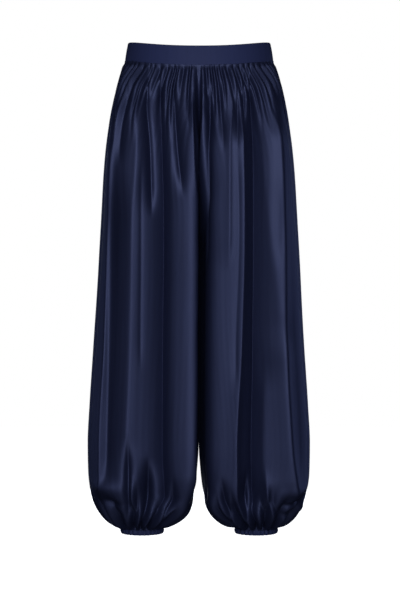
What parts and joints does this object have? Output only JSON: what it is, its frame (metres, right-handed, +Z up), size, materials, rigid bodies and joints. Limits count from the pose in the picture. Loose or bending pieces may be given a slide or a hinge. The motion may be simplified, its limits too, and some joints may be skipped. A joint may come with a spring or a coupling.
{
  "type": "salwar trousers",
  "caption": "Full satin salwar trousers with a flat waistband, gathered hips and ballooning legs drawn in at the ankles by narrow elastic cuffs",
  "frame": {"origin": "centre of the held waist, halfway up the waistband at its sides", "axes": "+Z up towards the waist, the front faces -Y, the wearer's left leg is at +X"},
  "size_m": [0.4438, 0.2845, 0.9815],
  "materials": {
    "satin": "navy satin weave, sheen along the folds"
  },
  "bodies": {
    "root": {"waistband_front": "satin", "waistband_back": "satin", "right_leg_front": "satin", "left_leg_front": "satin", "right_leg_back": "satin", "left_leg_back": "satin", "right_cuff": "satin", "left_cuff": "satin"}
  },
  "joints": []
}
